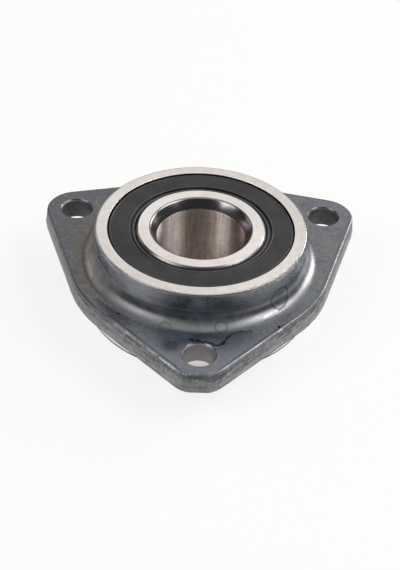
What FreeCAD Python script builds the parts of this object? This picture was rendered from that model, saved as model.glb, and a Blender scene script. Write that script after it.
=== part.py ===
import FreeCAD, Part
import math
import os

# Flanged, sealed, double-row ball bearing for a fan shaft. Millimetres.
# Z is the bearing's axis, and z = 0 is the flange's mounting face. The locating spigot points down,
# and the front ear points along -Y.

# Rings
WIDTH = 25.4
SPIGOT_HEIGHT = 9.0
BORE_RADIUS = 12.5
BORE_BEVEL = 1.75
BEVEL_CROWN = 0.04
BOSS_RADIUS = 30.0
BOSS_CORNER = 0.5
SPIGOT_RADIUS = 32.25
SPIGOT_CHAMFER = 0.15

# Flange: three ears round a central disc, forged with draft above and below the parting line
FLANGE_THICKNESS = 6.15
FLANGE_DISC_RADIUS = 37.5
EAR_RADIUS = 8.75
EAR_COUNT = 3
FRONT_EAR_ANGLE = -90.0
BOLT_CIRCLE_RADIUS = 42.15
BOLT_HOLE_RADIUS = 4.3
BOLT_HOLE_CHAMFER = 0.5
PARTING_HEIGHT = 1.8
DRAFT_DEGREES = 5.0
RIM_ROUNDING = 0.45
BOSS_FILLET = 4.5

# The front ear's nose is rounded off, because the forging did not fill its die there, and its tip is
# a flat where the forging's tag was trimmed. The rounding runs out along the ear's sides.
NOSE_ROLL_RADIUS = 3.0
NOSE_ROLL_SETBACK = 8.0
NOSE_ROLL_SWEEP = 100.0
NOSE_TIP = 50.5

# Balls and raceways
BALL_RADIUS = 4.5
BALLS_PER_ROW = 9
PITCH_RADIUS = 21.9
ROW_OFFSET = 4.9
LOWER_ROW_STAGGER = 20.0
CONTACT_DEGREES = 25.0
GROOVE_RADIUS = 0.52 * 2 * BALL_RADIUS
RUNNING_GAP = 0.08
INNER_HIGH_SHOULDER = 19.6
INNER_LOW_SHOULDER = 18.7
OUTER_HIGH_SHOULDER = 24.2
OUTER_LOW_SHOULDER = 25.1

# Inner ring's ends, where the seal lips run
LIP_LAND_RADIUS = 18.35
LIP_LAND_DEPTH = 2.3
LIP_LAND_BEVEL = 0.6

# Seal seats in the outer ring, measured down from its end faces
SEAT_MOUTH_RADIUS = 26.5
SEAT_MOUTH_DEPTH = 0.8
SEAT_GROOVE_RADIUS = 27.2
SEAT_GROOVE_TAPER = 0.23
SEAT_LEDGE_DEPTH = 2.2

# Seal section, also measured down from the end faces
SEAL_GAP = 0.1
SEAL_RECESS = 0.4
SEAL_UNDERSIDE_DEPTH = 1.6
SEAL_OUTER_RADIUS = 26.05
SEAL_RIM_RADIUS = 20.1
SEAL_RIB_WIDTH = 0.35
SEAL_RIB_HEIGHT = 0.12
SEAL_EDGE = 0.1
SEAL_BEAD_SHOULDER = 0.2
SEAL_BEAD_TAPER = 0.4
LIP_GROOVE_WIDTH = 0.55
LIP_GROOVE_DEPTH = 1.05
LIP_RING_WIDTH = 0.6
LIP_RING_DEPTH = 0.75
LIP_TOP_DEPTH = 1.4
LIP_UNDER_DEPTH = 1.95
LIP_ROOT_INSET = 0.4
WEB_INSET = 0.3

# Snap cage
CAGE_INNER_RADIUS = 20.15
CAGE_OUTER_RADIUS = 24.55
CAGE_BACK_OFFSET = 10.6
CAGE_HORN_PAST_CENTRE = 1.6
CAGE_NOTCH_RADIUS = 1.25
CAGE_NOTCH_BOTTOM = 2.0
CAGE_EDGE = 0.3
POCKET_GAP = 0.12

# How far a cutting shape reaches past what it cuts
MARGIN = 1.0

TOP = WIDTH - SPIGOT_HEIGHT
MIDDLE = TOP - WIDTH / 2
HALF_WIDTH = WIDTH / 2
DRAFT_SLOPE = math.tan(math.radians(DRAFT_DEGREES))
EAR_STEP = 360 / EAR_COUNT
EAR_ANGLES = [FRONT_EAR_ANGLE + index * EAR_STEP for index in range(EAR_COUNT)]
ORIGIN = FreeCAD.Vector(0, 0, 0)
AXIS = FreeCAD.Vector(0, 0, 1)


class Section:
    """A closed half section in the XZ plane, drawn edge by edge and turned about the bearing's axis."""

    def __init__(self, radius, height):
        self.start = FreeCAD.Vector(radius, 0, height)
        self.last = self.start
        self.edges = []

    def line(self, radius, height):
        end = FreeCAD.Vector(radius, 0, height)
        self.edges.append(Part.makeLine(self.last, end))
        self.last = end

    def arc(self, through, to):
        middle = FreeCAD.Vector(through[0], 0, through[1])
        end = FreeCAD.Vector(to[0], 0, to[1])
        self.edges.append(Part.Arc(self.last, middle, end).toShape())
        self.last = end

    def corner(self, centre, to):
        """A quarter arc about a centre, from the last point to the point given."""
        hub = FreeCAD.Vector(centre[0], 0, centre[1])
        spoke = self.last - hub
        outward = spoke + FreeCAD.Vector(to[0], 0, to[1]) - hub
        outward.normalize()
        crown = hub + outward * spoke.Length
        self.arc((crown.x, crown.z), to)

    def bevel(self, radius, height):
        """A bevel to a new point, slightly crowned to the left of the way it is drawn."""
        chord = FreeCAD.Vector(radius, 0, height) - self.last
        crown = self.last + chord * 0.5 + FreeCAD.Vector(-chord.z, 0, chord.x) * BEVEL_CROWN
        self.arc((crown.x, crown.z), (radius, height))

    def turn(self, sweep=360):
        if not self.last.isEqual(self.start, 1e-6):
            self.edges.append(Part.makeLine(self.last, self.start))
        face = Part.Face(Part.Wire(self.edges))
        return face.revolve(ORIGIN, AXIS, sweep)


def polar(radius, degrees, height=0.0):
    angle = math.radians(degrees)
    return FreeCAD.Vector(radius * math.cos(angle), radius * math.sin(angle), height)


def groove_centre(side, row):
    """Centre of a raceway's arc. Side is -1 on the inner ring, 1 on the outer; row is 1 above, -1 below.

    The arcs are set off along the contact line, so that a ball meets the inner ring on its outboard side
    and the outer ring at the rib between the rows.
    """
    slack = GROOVE_RADIUS - BALL_RADIUS - RUNNING_GAP
    contact = math.radians(CONTACT_DEGREES)
    radius = PITCH_RADIUS - side * slack * math.cos(contact)
    height = MIDDLE + row * (ROW_OFFSET + side * slack * math.sin(contact))
    return radius, height


def groove_reach(centre_radius, shoulder_radius):
    """Half width of a raceway where its arc meets a shoulder."""
    return math.sqrt(GROOVE_RADIUS ** 2 - (centre_radius - shoulder_radius) ** 2)


def inner_ring():
    top = MIDDLE + HALF_WIDTH
    bottom = MIDDLE - HALF_WIDTH
    face_inner = BORE_RADIUS + BORE_BEVEL
    face_outer = LIP_LAND_RADIUS - LIP_LAND_BEVEL
    section = Section(BORE_RADIUS, bottom + BORE_BEVEL)
    section.line(BORE_RADIUS, top - BORE_BEVEL)
    section.bevel(face_inner, top)
    section.line(face_outer, top)
    section.bevel(LIP_LAND_RADIUS, top - LIP_LAND_BEVEL)
    section.line(LIP_LAND_RADIUS, top - LIP_LAND_DEPTH)
    section.line(INNER_HIGH_SHOULDER, top - LIP_LAND_DEPTH)
    for row in (1, -1):
        radius, height = groove_centre(-1, row)
        outboard = height + row * groove_reach(radius, INNER_HIGH_SHOULDER)
        inboard = height - row * groove_reach(radius, INNER_LOW_SHOULDER)
        ends = [(INNER_HIGH_SHOULDER, outboard), (INNER_LOW_SHOULDER, inboard)][::row]
        section.line(*ends[0])
        section.arc((radius - GROOVE_RADIUS, height), ends[1])
    section.line(INNER_HIGH_SHOULDER, bottom + LIP_LAND_DEPTH)
    section.line(LIP_LAND_RADIUS, bottom + LIP_LAND_DEPTH)
    section.line(LIP_LAND_RADIUS, bottom + LIP_LAND_BEVEL)
    section.bevel(face_outer, bottom)
    section.line(face_inner, bottom)
    section.bevel(BORE_RADIUS, bottom + BORE_BEVEL)
    return section.turn()


def seal_seat(section, end, row):
    """Draws one seal seat of the outer ring, from its end face inwards for row -1, outwards for row 1."""
    mouth = end - row * SEAT_MOUTH_DEPTH
    ledge = end - row * SEAT_LEDGE_DEPTH
    points = [
        (SEAT_MOUTH_RADIUS, end),
        (SEAT_MOUTH_RADIUS, mouth),
        (SEAT_GROOVE_RADIUS, mouth - row * SEAT_GROOVE_TAPER),
        (SEAT_GROOVE_RADIUS, ledge),
        (OUTER_LOW_SHOULDER, ledge),
    ]
    for point in points[::-row]:
        section.line(*point)


def ring_body():
    """The turned part of the outer ring: boss, spigot, seal seats and raceways."""
    bottom = -SPIGOT_HEIGHT
    fillet_top = FLANGE_THICKNESS + BOSS_FILLET
    fillet_foot = BOSS_RADIUS + BOSS_FILLET
    boss_edge = BOSS_RADIUS - BOSS_CORNER
    section = Section(SEAT_MOUTH_RADIUS, TOP)
    section.line(boss_edge, TOP)
    section.corner((boss_edge, TOP - BOSS_CORNER), (BOSS_RADIUS, TOP - BOSS_CORNER))
    section.line(BOSS_RADIUS, fillet_top)
    section.corner((fillet_foot, fillet_top), (fillet_foot, FLANGE_THICKNESS))
    section.line(fillet_foot, 0)
    section.line(SPIGOT_RADIUS, 0)
    section.line(SPIGOT_RADIUS, bottom + SPIGOT_CHAMFER)
    section.line(SPIGOT_RADIUS - SPIGOT_CHAMFER, bottom)
    seal_seat(section, bottom, -1)
    for row in (-1, 1):
        radius, height = groove_centre(1, row)
        outboard = height + row * groove_reach(radius, OUTER_LOW_SHOULDER)
        inboard = height - row * groove_reach(radius, OUTER_HIGH_SHOULDER)
        ends = [(OUTER_LOW_SHOULDER, outboard), (OUTER_HIGH_SHOULDER, inboard)][::-row]
        section.line(*ends[0])
        section.arc((radius + GROOVE_RADIUS, height), ends[1])
    seal_seat(section, TOP, 1)
    return section.turn()


def flange_outline(growth, height):
    """The flange's rim at one height: ear arcs joined to arcs of the central disc by tangent lines."""
    disc = FLANGE_DISC_RADIUS + growth
    ear = EAR_RADIUS + growth
    spread = math.degrees(math.acos((disc - ear) / BOLT_CIRCLE_RADIUS))
    edges = []
    for angle in EAR_ANGLES:
        following = angle + EAR_STEP
        centre = polar(BOLT_CIRCLE_RADIUS, angle, height)
        ear_start, ear_tip, ear_end = (centre + polar(ear, angle + turn) for turn in (-spread, 0, spread))
        disc_start = polar(disc, angle + spread, height)
        disc_middle = polar(disc, angle + EAR_STEP / 2, height)
        disc_end = polar(disc, following - spread, height)
        next_ear = polar(BOLT_CIRCLE_RADIUS, following, height) + polar(ear, following - spread)
        edges.append(Part.Arc(ear_start, ear_tip, ear_end).toShape())
        edges.append(Part.makeLine(ear_end, disc_start))
        edges.append(Part.Arc(disc_start, disc_middle, disc_end).toShape())
        edges.append(Part.makeLine(disc_end, next_ear))
    return Part.Wire(edges)


def nose_roll():
    """Cutter for the front ear's nose: the space over a convex arc, and all past the tip's flat."""
    level = FLANGE_THICKNESS - NOSE_ROLL_RADIUS
    above = FLANGE_THICKNESS + MARGIN
    crown = EAR_RADIUS + NOSE_ROLL_SETBACK + NOSE_ROLL_RADIUS * DRAFT_SLOPE - NOSE_ROLL_RADIUS
    beyond = crown + NOSE_ROLL_RADIUS + MARGIN
    section = Section(crown, above)
    section.line(crown, FLANGE_THICKNESS)
    section.corner((crown, level), (crown + NOSE_ROLL_RADIUS, level))
    section.line(beyond, level)
    section.line(beyond, above)
    roll = section.turn(NOSE_ROLL_SWEEP)
    roll.rotate(ORIGIN, AXIS, FRONT_EAR_ANGLE - NOSE_ROLL_SWEEP / 2)
    roll.translate(polar(BOLT_CIRCLE_RADIUS - NOSE_ROLL_SETBACK, FRONT_EAR_ANGLE))
    corner = FreeCAD.Vector(-EAR_RADIUS, -NOSE_TIP - EAR_RADIUS, -MARGIN)
    tag = Part.makeBox(2 * EAR_RADIUS, EAR_RADIUS, FLANGE_THICKNESS + 2 * MARGIN, corner)
    return roll.fuse(tag)


def bolt_hole(angle):
    """A bolt hole's cutter, with a small chamfer at the flange's upper face."""
    wide = BOLT_HOLE_RADIUS + BOLT_HOLE_CHAMFER
    section = Section(0, -MARGIN)
    section.line(BOLT_HOLE_RADIUS, -MARGIN)
    section.line(BOLT_HOLE_RADIUS, FLANGE_THICKNESS - BOLT_HOLE_CHAMFER)
    section.line(wide, FLANGE_THICKNESS)
    section.line(wide, FLANGE_THICKNESS + MARGIN)
    section.line(0, FLANGE_THICKNESS + MARGIN)
    cutter = section.turn()
    cutter.translate(polar(BOLT_CIRCLE_RADIUS, angle))
    return cutter


def flange():
    """The forged flange with its draft, rounded rim, holes and nose, open in the middle for the ring."""
    swell = (FLANGE_THICKNESS - PARTING_HEIGHT) * DRAFT_SLOPE
    under = flange_outline(swell - PARTING_HEIGHT * DRAFT_SLOPE, 0)
    parting = flange_outline(swell, PARTING_HEIGHT)
    upper = flange_outline(0, FLANGE_THICKNESS)
    below_parting = Part.makeLoft([under, parting], True, True)
    above_parting = Part.makeLoft([parting, upper], True, True)
    plate = below_parting.fuse(above_parting).removeSplitter()
    rim = [edge for edge in plate.Edges if edge.BoundBox.ZMin > FLANGE_THICKNESS - RIM_ROUNDING]
    plate = plate.makeFillet(RIM_ROUNDING, rim)
    eye = Part.makeCylinder(BOSS_RADIUS + BOSS_FILLET / 2, FLANGE_THICKNESS)
    cutters = [eye, nose_roll()] + [bolt_hole(angle) for angle in EAR_ANGLES]
    return plate.cut(cutters)


def flanged_outer_ring():
    return ring_body().fuse(flange()).removeSplitter()


def seal(row):
    """A seal for the upper (1) or lower (-1) end. Its bead sits on the ledge of the outer ring's seat.

    Its face has a low rib at each edge. Inside the inner rib a groove parts it from the ring of its lip.
    """
    end = MIDDLE + row * HALF_WIDTH

    def at(depth):
        return end - row * depth

    bead = SEAT_GROOVE_RADIUS - SEAL_GAP
    lip = LIP_LAND_RADIUS + SEAL_GAP
    lip_ring = SEAL_RIM_RADIUS - LIP_GROOVE_WIDTH - SEAL_EDGE
    section = Section(bead, at(SEAT_LEDGE_DEPTH))

    def rib(inner, width, depth):
        """A low round rib, drawn inwards from its outer foot."""
        section.arc((inner + width / 2, at(depth - SEAL_RIB_HEIGHT)), (inner, at(depth)))

    section.line(bead, at(SEAT_MOUTH_DEPTH + SEAL_BEAD_TAPER))
    section.line(SEAL_OUTER_RADIUS + SEAL_EDGE, at(SEAT_MOUTH_DEPTH + SEAL_BEAD_SHOULDER))
    section.line(SEAL_OUTER_RADIUS, at(SEAL_RECESS + SEAL_EDGE))
    section.line(SEAL_OUTER_RADIUS - SEAL_EDGE, at(SEAL_RECESS))
    rib(SEAL_OUTER_RADIUS - SEAL_EDGE - SEAL_RIB_WIDTH, SEAL_RIB_WIDTH, SEAL_RECESS)
    section.line(SEAL_RIM_RADIUS + SEAL_RIB_WIDTH, at(SEAL_RECESS))
    rib(SEAL_RIM_RADIUS, SEAL_RIB_WIDTH, SEAL_RECESS)
    section.line(SEAL_RIM_RADIUS - SEAL_EDGE, at(LIP_GROOVE_DEPTH))
    section.line(lip_ring + SEAL_EDGE, at(LIP_GROOVE_DEPTH))
    section.line(lip_ring, at(LIP_RING_DEPTH))
    rib(lip_ring - LIP_RING_WIDTH, LIP_RING_WIDTH, LIP_RING_DEPTH)
    section.line(lip, at(LIP_TOP_DEPTH))
    section.line(lip, at(LIP_UNDER_DEPTH))
    section.line(SEAL_RIM_RADIUS - LIP_ROOT_INSET, at(LIP_UNDER_DEPTH))
    section.line(SEAL_RIM_RADIUS + WEB_INSET, at(SEAL_UNDERSIDE_DEPTH))
    section.line(OUTER_LOW_SHOULDER - WEB_INSET, at(SEAL_UNDERSIDE_DEPTH))
    section.line(OUTER_LOW_SHOULDER + WEB_INSET, at(SEAT_LEDGE_DEPTH))
    return section.turn()


def row_angles(row):
    stagger = 0 if row > 0 else LOWER_ROW_STAGGER
    return [stagger + index * 360 / BALLS_PER_ROW for index in range(BALLS_PER_ROW)]


def row_height(row):
    return MIDDLE + row * ROW_OFFSET


def ball(row, angle):
    return Part.makeSphere(BALL_RADIUS, polar(PITCH_RADIUS, angle, row_height(row)))


def cage_blank(row):
    """The cage before its pockets: a ring from the horn tips to the back, with its back edges broken."""
    tips = MIDDLE + row * (ROW_OFFSET - CAGE_HORN_PAST_CENTRE)
    back = MIDDLE + row * CAGE_BACK_OFFSET
    section = Section(CAGE_INNER_RADIUS, tips)
    section.line(CAGE_OUTER_RADIUS, tips)
    section.line(CAGE_OUTER_RADIUS, back - row * CAGE_EDGE)
    section.line(CAGE_OUTER_RADIUS - CAGE_EDGE, back)
    section.line(CAGE_INNER_RADIUS + CAGE_EDGE, back)
    section.line(CAGE_INNER_RADIUS, back - row * CAGE_EDGE)
    return section.turn()


def cage_notch(row, angle):
    """The round-ended slot that splits the post between two pockets into a pair of springy horns."""
    floor = MIDDLE + row * (ROW_OFFSET + CAGE_NOTCH_BOTTOM)
    depth = CAGE_NOTCH_BOTTOM + CAGE_HORN_PAST_CENTRE + MARGIN
    near = CAGE_INNER_RADIUS - MARGIN
    length = CAGE_OUTER_RADIUS + MARGIN - near
    start = FreeCAD.Vector(near, 0, floor)
    root = Part.makeCylinder(CAGE_NOTCH_RADIUS, length, start, FreeCAD.Vector(1, 0, 0))
    corner = FreeCAD.Vector(near, -CAGE_NOTCH_RADIUS, min(floor, floor - row * depth))
    slot = Part.makeBox(length, 2 * CAGE_NOTCH_RADIUS, depth, corner)
    notch = root.fuse(slot)
    notch.rotate(ORIGIN, AXIS, angle)
    return notch


def cage(row):
    """A snap cage. Each pocket is part of a sphere and closes a little past the ball's middle."""
    half_step = 180 / BALLS_PER_ROW
    cutters = []
    for angle in row_angles(row):
        centre = polar(PITCH_RADIUS, angle, row_height(row))
        cutters.append(Part.makeSphere(BALL_RADIUS + POCKET_GAP, centre))
        cutters.append(cage_notch(row, angle + half_step))
    return cage_blank(row).cut(cutters)


def sub_parts():
    parts = {"flanged_outer_ring": flanged_outer_ring(), "inner_ring": inner_ring()}
    for side, row in (("upper", 1), ("lower", -1)):
        parts[f"seal_{side}"] = seal(row)
        parts[f"cage_{side}"] = cage(row)
        for number, angle in enumerate(row_angles(row), start=1):
            parts[f"ball_{side}_{number}"] = ball(row, angle)
    return parts


os.makedirs("parts", exist_ok=True)
for name, shape in sub_parts().items():
    shape.exportStep(f"parts/{name}.step")
    print(name, len(shape.Solids), shape.isValid(), round(shape.Volume, 1))
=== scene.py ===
import logging
import math
from dataclasses import dataclass
from enum import IntEnum
from typing import Mapping, Protocol, Sequence, Union

import bmesh
import bpy
import numpy as np
from mathutils import Matrix, Vector, noise


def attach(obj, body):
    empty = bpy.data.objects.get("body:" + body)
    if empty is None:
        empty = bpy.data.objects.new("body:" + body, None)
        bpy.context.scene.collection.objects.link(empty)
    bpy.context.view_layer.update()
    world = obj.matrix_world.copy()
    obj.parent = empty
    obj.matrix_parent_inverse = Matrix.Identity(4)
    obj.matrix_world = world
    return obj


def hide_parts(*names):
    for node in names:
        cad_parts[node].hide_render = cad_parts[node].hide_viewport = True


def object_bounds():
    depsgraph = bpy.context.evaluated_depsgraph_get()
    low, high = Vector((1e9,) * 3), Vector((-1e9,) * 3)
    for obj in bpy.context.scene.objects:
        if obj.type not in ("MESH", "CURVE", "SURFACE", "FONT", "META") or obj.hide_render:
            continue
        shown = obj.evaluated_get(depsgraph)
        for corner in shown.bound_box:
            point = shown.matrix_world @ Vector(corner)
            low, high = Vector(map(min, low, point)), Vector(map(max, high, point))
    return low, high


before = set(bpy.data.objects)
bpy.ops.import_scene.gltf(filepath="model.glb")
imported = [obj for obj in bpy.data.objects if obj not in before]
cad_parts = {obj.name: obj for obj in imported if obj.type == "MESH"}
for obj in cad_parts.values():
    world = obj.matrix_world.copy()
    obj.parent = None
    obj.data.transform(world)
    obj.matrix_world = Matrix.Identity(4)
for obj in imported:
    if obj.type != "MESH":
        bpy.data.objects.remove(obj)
CAD_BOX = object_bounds()

LOG = logging.getLogger("fan_bearing")
PHOTO_HEIGHT = 570
MM = 0.001
# Heights of the bearing's end faces and of the flange's upper face, in millimetres
TOP = round(CAD_BOX[1].z / MM, 3)
BOTTOM = round(CAD_BOX[0].z / MM, 3)
FLANGE_TOP = 6.15

Pair = tuple[float, float]
Colour = tuple[float, float, float]
Point = tuple[float, float, float]
Length = Union[float, np.ndarray]
Operand = Union["Wire", float, tuple]


class Wire:
    """A node's output socket that takes part in Python arithmetic.

    Values become Math nodes. Vectors and colours become Vector Math nodes.
    """

    def __init__(self, graph: "Graph", socket: bpy.types.NodeSocket) -> None:
        """Keeps the graph and the socket."""
        self.graph = graph
        self.socket = socket

    def _join(self, operation: str, first: Operand, second: Operand) -> "Wire":
        """Adds the node of one arithmetic operation.

        Args:
            operation: Blender's name for the operation.
            first: The left operand.
            second: The right operand.

        Returns:
            The node's result.
        """
        if self.socket.type == "VALUE":
            return self.graph.node("ShaderNodeMath", {"operation": operation}, {0: first, 1: second})
        spread = [(o, o, o) if isinstance(o, (int, float)) else o for o in (first, second)]
        return self.graph.node("ShaderNodeVectorMath", {"operation": operation}, dict(enumerate(spread)))

    def __add__(self, other: Operand) -> "Wire":
        """Sum."""
        return self._join("ADD", self, other)

    __radd__ = __add__

    def __sub__(self, other: Operand) -> "Wire":
        """Difference."""
        return self._join("SUBTRACT", self, other)

    def __rsub__(self, other: Operand) -> "Wire":
        """Difference from a number."""
        return self._join("SUBTRACT", other, self)

    def __mul__(self, other: Operand) -> "Wire":
        """Product."""
        return self._join("MULTIPLY", self, other)

    __rmul__ = __mul__

    def __abs__(self) -> "Wire":
        """Size without the sign."""
        return self.graph.node("ShaderNodeMath", {"operation": "ABSOLUTE"}, {0: self})

    def least(self, other: Operand) -> "Wire":
        """The smaller of two values."""
        return self._join("MINIMUM", self, other)

    def most(self, other: Operand) -> "Wire":
        """The larger of two values."""
        return self._join("MAXIMUM", self, other)

    def dot(self, other: Operand) -> "Wire":
        """Dot product of two vectors."""
        settings = {"operation": "DOT_PRODUCT"}
        return self.graph.node("ShaderNodeVectorMath", settings, {0: self, 1: other}, "Value")

    def length(self) -> "Wire":
        """Length of a vector."""
        return self.graph.node("ShaderNodeVectorMath", {"operation": "LENGTH"}, {0: self}, "Value")

    def rise(self, low: float, high: float) -> "Wire":
        """A smooth step.

        Args:
            low: The value that gives 0.
            high: The value that gives 1. It may be the smaller of the two, and the step then falls.

        Returns:
            The stepped value, from 0 to 1.
        """
        settings = {"interpolation_type": "SMOOTHSTEP"}
        if low < high:
            return self.graph.node("ShaderNodeMapRange", settings, {0: self, 1: low, 2: high})
        return 1.0 - self.graph.node("ShaderNodeMapRange", settings, {0: self, 1: high, 2: low})

    def within(self, low: float, high: float, soft: float) -> "Wire":
        """A band of a value: 1 from low to high, fading to 0 over the soft distance outside it."""
        return self.rise(low - soft, low) * self.rise(high + soft, high)


class Graph:
    """A node tree, with one way to add a node and short names for the nodes used most."""

    def __init__(self, tree: bpy.types.NodeTree) -> None:
        """Takes over a tree and empties it."""
        self.tree = tree
        self.tree.nodes.clear()

    @classmethod
    def of_material(cls, name: str) -> tuple["Graph", bpy.types.Material]:
        """Makes a material with an empty tree.

        Args:
            name: The material's name.

        Returns:
            The graph and its material.
        """
        material = bpy.data.materials.new(name)
        material.use_nodes = True
        return cls(material.node_tree), material

    def node(
        self,
        kind: str,
        settings: Mapping[str, object] | None = None,
        sockets: Mapping[str | int, Operand] | None = None,
        output: str | int = 0,
    ) -> Wire | None:
        """Adds a node.

        Args:
            kind: The node's type.
            settings: Its properties, set before its sockets.
            sockets: Values or wires for its inputs, by name or place.
            output: The output to return.

        Returns:
            That output, or None where the node has none.
        """
        made = self.tree.nodes.new(kind)
        for name, setting in (settings or {}).items():
            setattr(made, name, setting)
        for name, given in (sockets or {}).items():
            socket = made.inputs[name]
            if isinstance(given, Wire):
                self.tree.links.new(given.socket, socket)
            elif socket.type == "RGBA":
                socket.default_value = (*given, 1.0)
            else:
                socket.default_value = given
        return Wire(self, made.outputs[output]) if made.outputs else None

    def place(self) -> Wire:
        """The point on the piece in its own frame, in millimetres."""
        return self.node("ShaderNodeTexCoord", output="Object") * (1 / MM)

    def axes(self, vector: Wire) -> tuple[Wire, Wire, Wire]:
        """Splits a vector into its x, y and z."""
        outputs = self.node("ShaderNodeSeparateXYZ", sockets={0: vector}).socket.node.outputs
        return tuple(Wire(self, socket) for socket in outputs)

    def vector(self, x: Operand, y: Operand, z: Operand) -> Wire:
        """Joins three values to a vector."""
        return self.node("ShaderNodeCombineXYZ", sockets={0: x, 1: y, 2: z})

    def rays(self, *kinds: str) -> tuple[Wire, ...]:
        """For each kind, such as Camera or Glossy: 1 where a ray of that kind arrives, and 0 elsewhere."""
        outputs = self.node("ShaderNodeLightPath").socket.node.outputs
        return tuple(Wire(self, outputs[f"Is {kind} Ray"]) for kind in kinds)

    def grain(self, place: Wire, size: float, detail: float = 2.0, rough: float = 0.5) -> Wire:
        """Cloudy noise from 0 to 1, whose largest clouds have the given size in millimetres."""
        sockets = {"Vector": place, "Scale": 1 / size, "Detail": detail, "Roughness": rough}
        return self.node("ShaderNodeTexNoise", sockets=sockets)

    def attribute(self, name: str) -> Wire:
        """A value that the mesh carries."""
        return self.node("ShaderNodeAttribute", {"attribute_name": name}, output="Fac")

    def blend(self, first: Operand, second: Operand, share: Operand) -> Wire:
        """Mixes two colours: the first at share 0, and the second at share 1."""
        return self.node("ShaderNodeMix", {"data_type": "RGBA"}, {0: share, 6: first, 7: second}, 2)

    def bump(self, height: Wire, distance: float) -> Wire:
        """A normal bumped by a relief from 0 to 1 that stands a distance in millimetres high."""
        return self.node("ShaderNodeBump", sockets={"Height": height, "Distance": distance * MM})

    def shader(self, **sockets: Operand) -> Wire:
        """Adds a surface shader, with underscores for the spaces in its inputs' names."""
        named = {name.replace("_", " "): given for name, given in sockets.items()}
        return self.node("ShaderNodeBsdfPrincipled", sockets=named)

    def layer(self, under: Wire, over: Wire, share: Wire) -> Wire:
        """Mixes two shaders: the one under at share 0, and the one over at share 1."""
        return self.node("ShaderNodeMixShader", sockets={0: share, 1: under, 2: over})

    def finish(self, shader: Wire) -> None:
        """Ends the tree in a shader."""
        self.node("ShaderNodeOutputMaterial", sockets={"Surface": shader})

    def surface(self, **sockets: Operand) -> None:
        """Ends the tree in one surface shader, with underscores for the spaces in its inputs' names."""
        self.finish(self.shader(**sockets))


class Finish(Protocol):
    """What every finish can do."""

    def material(self) -> bpy.types.Material:
        """Makes the material."""


@dataclass(frozen=True)
class Stroke:
    """A thin mark along straight runs between points, in millimetres."""

    points: tuple[Point, ...]
    width: float
    soft: float
    strength: float = 1.0
    broken: float = 0.0

    def mask(self, place: Wire) -> Wire:
        """Finds the mark.

        Args:
            place: The point on the surface, in millimetres.

        Returns:
            1 on the mark, and 0 away from it.
        """
        nearest = None
        for start, end in zip(self.points, self.points[1:]):
            run = Vector(end) - Vector(start)
            from_start = place - start
            along = from_start.dot(tuple(run / run.length_squared)).most(0.0).least(1.0)
            foot = place.graph.vector(along * run.x, along * run.y, along * run.z)
            distance = (from_start - foot).length()
            nearest = distance if nearest is None else nearest.least(distance)
        return nearest.rise(self.width / 2 + self.soft, self.width / 2)


@dataclass(frozen=True)
class Spot:
    """A round mark, filled or a ring, in millimetres."""

    centre: Point
    radius: float
    soft: float
    ring_width: float = 0.0
    strength: float = 1.0
    broken: float = 0.0

    def mask(self, place: Wire) -> Wire:
        """Finds the mark.

        Args:
            place: The point on the surface, in millimetres.

        Returns:
            1 on the mark, and 0 away from it.
        """
        distance = (place - self.centre).length()
        if self.ring_width:
            half = self.ring_width / 2
            return abs(distance - self.radius).rise(half + self.soft, half)
        return distance.rise(self.radius + self.soft, self.radius - self.soft)


Mark = Union[Stroke, Spot]


def on_flange(*places: Pair) -> tuple[Point, ...]:
    """Lifts places, given as x and y, to the flange's upper face."""
    return tuple((x, y, FLANGE_TOP) for x, y in places)


def strongest(marks: Sequence[Mark], place: Wire, gaps: Wire) -> Wire:
    """Joins several marks.

    Args:
        marks: The marks.
        place: The point on the surface, in millimetres.
        gaps: Where a broken mark is missing, from 0 to 1.

    Returns:
        The strongest of them at each point.
    """
    joined = None
    for mark in marks:
        shown = mark.mask(place) * mark.strength
        if mark.broken:
            shown = shown * (1.0 - gaps * mark.broken)
        joined = shown if joined is None else joined.most(shown)
    return joined


@dataclass(frozen=True)
class GroundSteel:
    """Ground bearing steel: bright, with a fine lay round the axis and faint stains."""

    name: str = "ground_steel"
    bright: Colour = (0.81, 0.765, 0.73)
    dull: Colour = (0.64, 0.595, 0.56)
    roughness: float = 0.33
    lay_strength: float = 0.5
    lay_rotation: float = 0.25
    lay_pitch: float = 0.22
    lay_drift: float = 0.02
    lay_depth: float = 0.004
    stain_size: float = 2.4
    speckle_size: float = 0.35
    score: float = 0.0
    score_pitch: float = 0.5
    score_drift: float = 0.03

    def material(self) -> bpy.types.Material:
        """Makes the material.

        Returns:
            The material.
        """
        graph, material = Graph.of_material(self.name)
        place = graph.place()
        x, y, z = graph.axes(place)
        radius = graph.vector(x, y, 0.0).length()
        lay = graph.grain(graph.vector(radius, z, x * self.lay_drift), self.lay_pitch, 3.0, 0.7)
        stains = graph.grain(place, self.stain_size, 5.0, 0.62)
        speckle = graph.grain(place, self.speckle_size)
        scores = graph.grain(graph.vector(x, y, z * self.score_drift), self.score_pitch, 3.0, 0.6) - 0.5
        share = (stains * 0.6 + speckle * 0.35 + lay * 0.5 + scores * self.score).rise(0.45, 1.0)
        graph.surface(
            Base_Color=graph.blend(self.bright, self.dull, share),
            Metallic=1.0,
            Roughness=self.roughness + 0.10 * (stains - 0.5) + 0.08 * (lay - 0.5),
            Anisotropic=self.lay_strength,
            Anisotropic_Rotation=self.lay_rotation,
            Normal=graph.bump(lay * 0.7 + speckle * 0.3, self.lay_depth),
        )
        return material


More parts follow.
